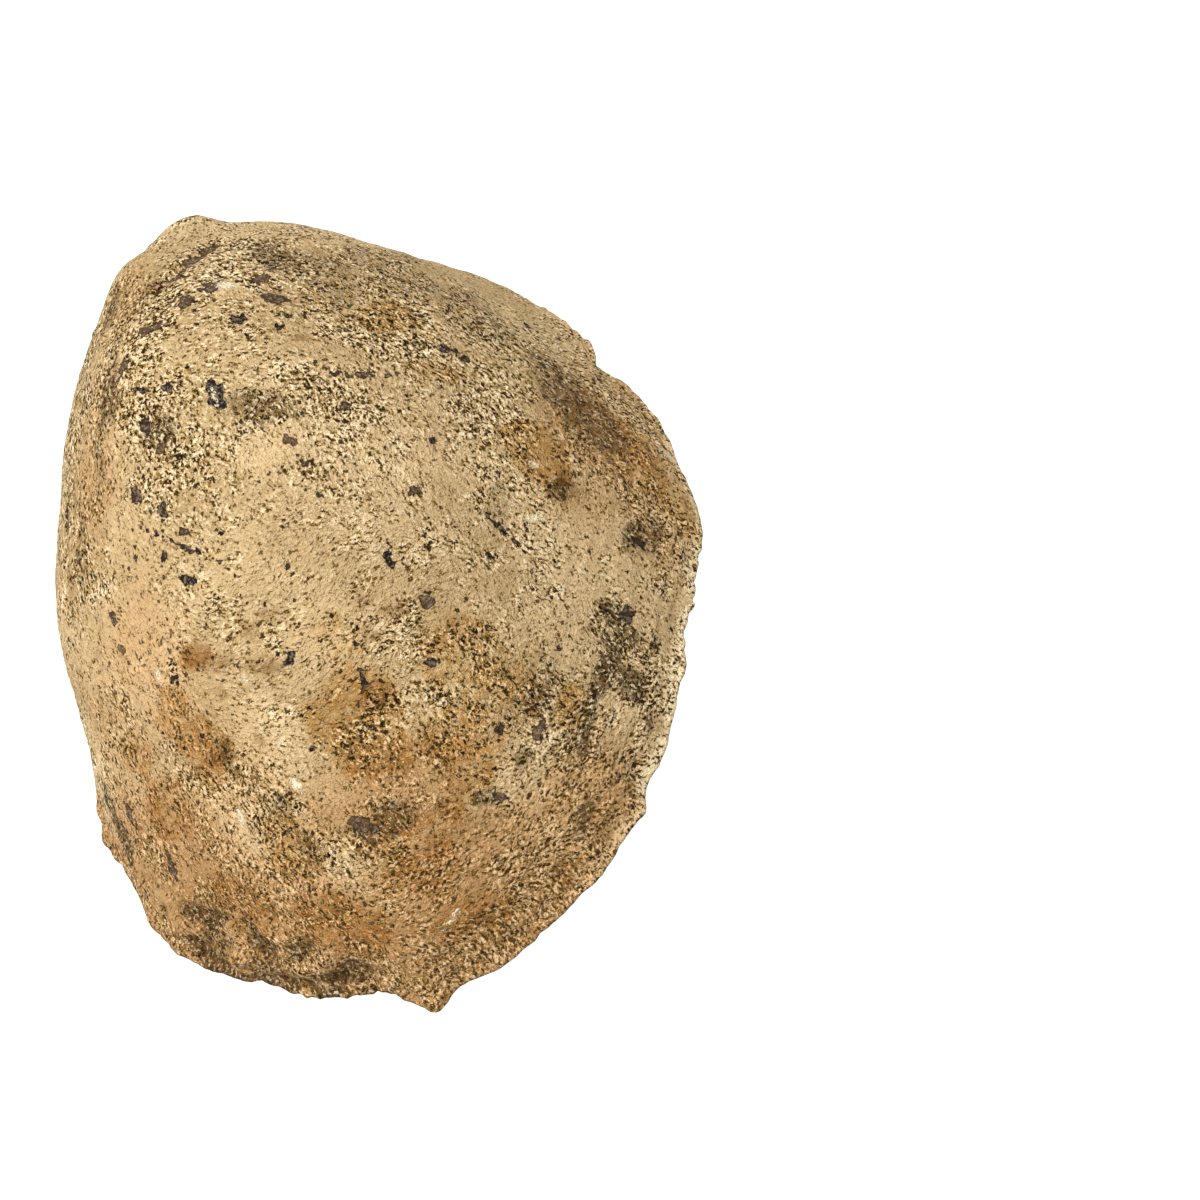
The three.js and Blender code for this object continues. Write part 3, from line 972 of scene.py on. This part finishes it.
# Spots: ragged islands of a fractal, which cover more as Cover goes from 0 to 1. Core is the islands, and
# Skirt is a soft ring round them.
bench, given, result = new_group(
    "spots",
    {"Place": None, "Size": 1.0, "Cover": 0.5, "Softness": 0.05},
    ["Core", "Skirt"],
)
per_size = bench.math("DIVIDE", 1.0, given["Size"])
field_inputs = {"Vector": given["Place"], "Scale": per_size, "Detail": 3.0, "Roughness": 0.65}
field = bench.add("TexNoise", field_inputs).outputs["Fac"]
start_inputs = {"Value": given["Cover"], "To Min": 0.74, "To Max": 0.36}
start = bench.add("MapRange", start_inputs).outputs["Result"]
end = bench.math("ADD", start, given["Softness"])
skirt_start = bench.math("MULTIPLY_ADD", given["Softness"], -1.6, start)
bench.fill(result["Core"], bench.ramp(field, start, end))
bench.fill(result["Skirt"], bench.ramp(field, skirt_start, start))
spots_group = bench.tree

# Streaks: fine noise, about a half, smeared along the direction Way.
bench, given, result = new_group("streaks", {"Place": None, "Way": None, "Size": 0.3}, ["Value"])
per_size = bench.math("DIVIDE", 1.0, given["Size"])
along_way = bench.scaled(given["Way"], given["Size"])
total = 0.0
for steps in (-0.6, -0.2, 0.2, 0.6):
    moved = bench.vector("ADD", given["Place"], bench.scaled(along_way, steps))
    sample = bench.add("TexNoise", {"Vector": moved, "Scale": per_size, "Detail": 0.0}).outputs["Fac"]
    total = bench.math("ADD", total, sample)
bench.fill(result["Value"], bench.math("MULTIPLY", total, 0.25))
streaks_group = bench.tree


def new_finish(name):
    """A bare material on the valve: its bench, and the place on the surface in millimetres."""
    finish = bpy.data.materials.new(name)
    finish.use_nodes = True
    finish.node_tree.nodes.clear()
    mesh.materials.append(finish)
    bench = Bench(finish.node_tree)
    return bench, bench.scaled(bench.add("TexCoord").outputs["Object"], 1 / MM)


def close_finish(bench, base, height, strength, reach, roughness, gloss):
    """The shader of a dull stone, with bump for the relief that is too fine for the mesh."""
    bump = bench.add("Bump", {"Strength": strength, "Distance": reach * MM, "Height": height})
    inputs = {"Base Color": base, "Roughness": roughness, "Specular IOR Level": gloss}
    inputs["Normal"] = bump.outputs[0]
    shader = bench.add("BsdfPrincipled", inputs)
    bench.add("OutputMaterial", {"Surface": shader.outputs[0]})


# The weathered outside: cream shell with washes of rust, earth and smoke, brown sediment in its open
# texture, black pores, and painted light and shade on its fine relief and crags. Larger grains of sediment
# and flecks of calcite are set in it.
DULL_CREAM = colour(0.71, 0.60, 0.43)
CREAM = colour(0.78, 0.67, 0.50)
TAN_CREAM = colour(0.705, 0.59, 0.41)
BLEACHED_AND_LIT_CREAM = colour(0.855, 0.735, 0.55)
OPEN_CREAM = colour(0.69, 0.57, 0.38)
CHALKY_EDGE = colour(0.95, 0.87, 0.70)
PAINTED_LIGHT_GRAIN = colour(0.96, 0.87, 0.71)
PAINTED_SHADE_GRAIN = colour(0.58, 0.47, 0.28)
BROWN_HALO = colour(0.62, 0.505, 0.31)
PORE_LIP = colour(0.64, 0.53, 0.33)
EARTH_WASH = colour(0.915, 0.815, 0.725)
RUST_WASH = colour(0.86, 0.75, 0.56)
SMOKE_AND_SHADE_WASH = colour(0.48, 0.45, 0.40)
DARK_SEDIMENT = colour(0.37, 0.265, 0.10)
LIGHT_SEDIMENT = colour(0.53, 0.41, 0.21)
EARTHY_SEDIMENT = colour(0.53, 0.39, 0.20)
DEEP_SEDIMENT = colour(0.15, 0.09, 0.03)
PORE_BLACK = colour(0.08, 0.05, 0.015)
PAINTED_GLINT = colour(0.96, 0.88, 0.72)
GROOVE_SEDIMENT = colour(0.33, 0.25, 0.13)
GRITTY_WASH = colour(0.70, 0.60, 0.47)
BLACK_GRAIN = colour(0.14, 0.12, 0.12)
BROWN_GRAIN = colour(0.48, 0.36, 0.24)
PAINTED_GRAIN_SHEEN = colour(0.60, 0.53, 0.44)
GRAIN_RIM = colour(0.13, 0.09, 0.05)
CALCITE = colour(0.94, 0.89, 0.76)

bench, place = new_finish("weathered_outside")
way = bench.vector("ADD", bench.read("way", "Vector"), bench.sway(place, 1.8, 0.5, 3.0))
ragged = bench.vector("ADD", place, bench.sway(place, 0.40, 0.6, 0.7))
pore_amount = bench.read("pores")
rust_amount = bench.read("rust")
smoke_and_shade_amount = bench.read("smoke_and_shade")
pale_amount = bench.read("pale")
earth_amount = bench.read("earth")

# The cream ground, and how the pores are clumped: more of them in the stains, fewer in the pale places.
broad = bench.cloud(place, 14.0, 3.0, 0.6)
middling = bench.cloud(place, 3.0, 5.0, 0.65)
streak = bench.group(streaks_group, Place=ragged, Way=way, Size=0.34)["Value"]
base = bench.blend(bench.ramp(broad, 0.35, 0.65), DULL_CREAM, CREAM)
base = bench.blend(bench.ramp(middling, 0.4, 0.7, 0.0, 0.7), base, TAN_CREAM)
# The pale places are bleached, and the crag tops among them carry painted light.
base = bench.coat(base, BLEACHED_AND_LIT_CREAM, pale_amount, 0.6)
base = bench.coat(base, OPEN_CREAM, pore_amount, 0.2)
patchy = bench.math("MULTIPLY_ADD", middling, 3.6, -1.8)
clumps = bench.math("ADD", patchy, bench.math("MULTIPLY_ADD", broad, 2.0, -1.0))
clumped_pores = bench.math("ADD", pore_amount, clumps)
for amount, push in ((smoke_and_shade_amount, 0.9), (rust_amount, 0.35), (earth_amount, 0.25), (pale_amount, -0.35)):
    clumped_pores = bench.math("MULTIPLY_ADD", amount, push, clumped_pores)
edge_mask = bench.ramp(bench.math("ADD", bench.read("edge"), clumps), 0.3, 0.8)
base = bench.coat(base, CHALKY_EDGE, edge_mask, 0.8)

# The open texture: painted light on its raised streaks and painted shade in its low ones, with a brown halo
# where the darkest hold sediment.
painted_light_share = bench.ramp(clumped_pores, -0.2, 0.9, 0.15, 0.75)
base = bench.coat(base, PAINTED_LIGHT_GRAIN, bench.ramp(streak, 0.53, 0.585), painted_light_share)
painted_shade_share = bench.ramp(clumped_pores, -0.2, 0.9, 0.2, 0.8)
base = bench.coat(base, PAINTED_SHADE_GRAIN, bench.ramp(streak, 0.49, 0.42), painted_shade_share)
dash_level = bench.ramp(clumped_pores, -0.3, 1.1, 0.357, 0.462)
halo_start = bench.math("ADD", dash_level, 0.03)
halo = bench.ramp(streak, halo_start, bench.math("ADD", dash_level, 0.005), 0.0, 0.6)
base = bench.blend(halo, base, BROWN_HALO)

# Washes of earth and rust, with gritty edges.
grit = bench.math("MULTIPLY_ADD", streak, 6.0, -3.0)
stain_edge = bench.math("ADD", patchy, grit)
earth_edge = bench.math("MULTIPLY_ADD", stain_edge, 0.5, 1.0)
earth_mask = bench.ramp(bench.math("MULTIPLY", earth_amount, earth_edge), 0.0, 0.9)
base = bench.coat(base, EARTH_WASH, earth_mask, 0.9, "MULTIPLY")
crumbly = bench.math("MULTIPLY_ADD", bench.cloud(place, 1.2, 4.0, 0.75), 5.0, -1.5)
rust_edge = bench.math("MULTIPLY_ADD", stain_edge, 1.0, crumbly)
rust_mask = bench.ramp(bench.math("MULTIPLY", rust_amount, rust_edge), 0.2, 0.65)
base = bench.coat(base, RUST_WASH, rust_mask, 0.9, "MULTIPLY")

# Brown sediment in spots and in dashes along the texture, nearly black where it is deep. The lips of the
# holes are only tanned.
brown_cover = bench.ramp(clumped_pores, 0.0, 1.2, 0.17, 0.48)
spots = bench.group(spots_group, Place=place, Size=0.8, Cover=brown_cover, Softness=0.04)
dashes = bench.ramp(streak, dash_level, bench.math("SUBTRACT", dash_level, 0.012))
deep_start = bench.math("SUBTRACT", dash_level, 0.04)
deep = bench.ramp(streak, deep_start, bench.math("SUBTRACT", dash_level, 0.055))
small_share = bench.ramp(clumped_pores, 0.0, 1.1, 0.12, 0.75)
small_marks = {"Cell": 0.8, "Share": small_share, "Radius": 0.33, "Stretch": 1.5}
small = bench.group(marks_group, Place=ragged, Way=way, **small_marks)
large_share = bench.ramp(clumped_pores, 0.0, 1.1, 0.07, 0.35)
large_marks = {"Cell": 1.6, "Share": large_share, "Radius": 0.22, "Stretch": 1.4}
large = bench.group(marks_group, Place=ragged, Way=way, **large_marks)
holes = bench.math("MAXIMUM", small["Core"], large["Core"])
base = bench.coat(base, PORE_LIP, bench.math("MAXIMUM", small["Lip"], large["Lip"]), 0.5)
base = bench.coat(base, PORE_LIP, spots["Skirt"], 0.5)
brown_colour = bench.blend(small["Tone"], DARK_SEDIMENT, LIGHT_SEDIMENT)
brown_colour = bench.coat(brown_colour, EARTHY_SEDIMENT, earth_mask, 0.6)
base = bench.coat(base, brown_colour, bench.math("MAXIMUM", dashes, spots["Core"]), 0.93)
dark_share = bench.math("MULTIPLY_ADD", earth_mask, -0.3, 0.92)
deep_share = bench.math("MULTIPLY", dark_share, bench.ramp(clumped_pores, -0.1, 0.8, 0.45, 1.0))
base = bench.coat(base, DEEP_SEDIMENT, deep, deep_share)

# Smoke and the painted shade of the crag hollows over it all, then painted highlights, glints off the clean
# crystal, and the open holes, which smoke does not dull.
smoke_and_shade_edge = bench.math("MULTIPLY_ADD", grit, 1.5, crumbly)
smoke_and_shade_mask = bench.ramp(bench.math("MULTIPLY", smoke_and_shade_amount, smoke_and_shade_edge), 0.15, 0.8)
# This wash is smoke, and it is also painted shade in the hollows between the crags.
base = bench.coat(base, SMOKE_AND_SHADE_WASH, smoke_and_shade_mask, 0.75, "MULTIPLY")
painted_glint_share = bench.ramp(clumped_pores, 0.0, 1.1, 0.0, 0.6)
painted_glint_share = bench.math("MULTIPLY", painted_glint_share, bench.math("MULTIPLY_ADD", earth_mask, -0.35, 1.0))
base = bench.coat(base, PAINTED_GLINT, bench.ramp(streak, 0.58, 0.615), painted_glint_share)
base = bench.coat(base, PORE_BLACK, holes, dark_share)
groove_cover = bench.ramp(bench.read("groove"), 0.0, 1.0, 0.0, 0.6)
groove_mask = bench.group(spots_group, Place=place, Size=1.6, Cover=groove_cover, Softness=0.06)["Core"]
base = bench.coat(base, GROOVE_SEDIMENT, groove_mask, 0.85)

# Solid grains with a dark rim and a painted sheen, and flecks. The browner grains are only stained, gritty
# patches.
grain_wobble = bench.math("MULTIPLY_ADD", bench.cloud(place, 1.0, 1.0, 0.5), 1.8, -0.9)
grain_edge = bench.math("ADD", bench.read("grain_gap"), grain_wobble)
grain_tone = bench.read("grain_tone")
patch_share = bench.ramp(grain_tone, 0.7, 0.8)
patch_edge = bench.math("MULTIPLY_ADD", grit, -0.55, grain_edge)
patch_mask = bench.math("MULTIPLY", bench.ramp(patch_edge, 0.35, -0.35), patch_share)
base = bench.coat(base, GRITTY_WASH, patch_mask, 0.6, "MULTIPLY")
grain_mask = bench.math("SUBTRACT", bench.ramp(grain_edge, 0.08, -0.06), patch_share)
grain_colour = bench.blend(grain_tone, BLACK_GRAIN, BROWN_GRAIN)
# A painted sheen on the grains, where the streaks stand high.
grain_colour = bench.blend(bench.ramp(streak, 0.50, 0.58, 0.0, 0.5), grain_colour, PAINTED_GRAIN_SHEEN)
grain_colour = bench.blend(bench.ramp(grain_edge, -0.30, -0.05, 0.0, 0.7), grain_colour, GRAIN_RIM)
base = bench.blend(bench.math("MAXIMUM", grain_mask, 0.0), base, grain_colour)
fleck_edge = bench.math("MULTIPLY_ADD", grit, 0.35, bench.read("fleck_gap"))
base = bench.blend(bench.ramp(fleck_edge, -0.02, -0.2, 0.0, 0.75), base, CALCITE)

# Fine relief: crumbs, higher where the shell is open, the streaks, and holes.
crumb_height = bench.ramp(pore_amount, 0.0, 1.0, 0.6, 2.4)
crumbs = bench.math("MULTIPLY", bench.cloud(place, 1.0, 2.0, 0.6), crumb_height)
height = bench.math("MULTIPLY_ADD", streak, 1.6, crumbs)
height = bench.math("SUBTRACT", height, bench.math("MULTIPLY", holes, 0.9))
close_finish(bench, base, height, strength=1.0, reach=0.45, roughness=0.9, gloss=0.06)

# The broken rim: fresh shell where the margin has been broken through, paler and chalkier than the outside,
# with sediment in its cracks and pores.
bench, place = new_finish("broken_rim")
patches = bench.ramp(bench.cloud(place, 6.0, 5.0, 0.6), 0.35, 0.65)
base = bench.blend(patches, colour(0.76, 0.66, 0.48), colour(0.87, 0.79, 0.62))
brown = bench.group(spots_group, Place=place, Size=1.5, Cover=0.45, Softness=0.07)["Core"]
base = bench.coat(base, colour(0.52, 0.39, 0.22), brown, 0.7)
small = bench.group(marks_group, Place=place, Cell=0.8, Share=0.4, Radius=0.3)["Core"]
base = bench.coat(base, colour(0.15, 0.11, 0.07), small, 0.9)
height = bench.math("SUBTRACT", bench.cloud(place, 0.6, 3.0, 0.6), bench.math("MULTIPLY", small, 0.9))
close_finish(bench, base, height, strength=0.7, reach=0.35, roughness=0.9, gloss=0.2)

# The hollow: smooth chalky shell, a little darker in the two muscle scars and along the mantle line.
# Sediment has stained it brown.
bench, place = new_finish("stained_hollow")
patches = bench.ramp(bench.cloud(place, 16.0, 5.0, 0.6), 0.35, 0.65)
base = bench.blend(patches, colour(0.74, 0.65, 0.49), colour(0.85, 0.78, 0.63))
stain = bench.group(spots_group, Place=place, Size=9.0, Cover=0.5, Softness=0.18)["Core"]
base = bench.coat(base, colour(0.60, 0.45, 0.27), stain, 0.6)
base = bench.coat(base, colour(0.64, 0.54, 0.40), bench.read("scar"), 0.4)
base = bench.coat(base, colour(0.55, 0.43, 0.28), bench.read("mantle_line"), 0.5)
brown = bench.group(spots_group, Place=place, Size=1.4, Cover=0.36, Softness=0.06)["Core"]
base = bench.coat(base, colour(0.44, 0.33, 0.19), brown, 0.7)
small = bench.group(marks_group, Place=place, Cell=0.9, Share=0.22, Radius=0.28)["Core"]
base = bench.coat(base, colour(0.15, 0.11, 0.07), small, 0.9)
height = bench.math("SUBTRACT", bench.cloud(place, 0.8, 3.0, 0.6), bench.math("MULTIPLY", small, 0.9))
close_finish(bench, base, height, strength=0.5, reach=0.3, roughness=0.85, gloss=0.25)

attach(shell, "root")
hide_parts("valve")
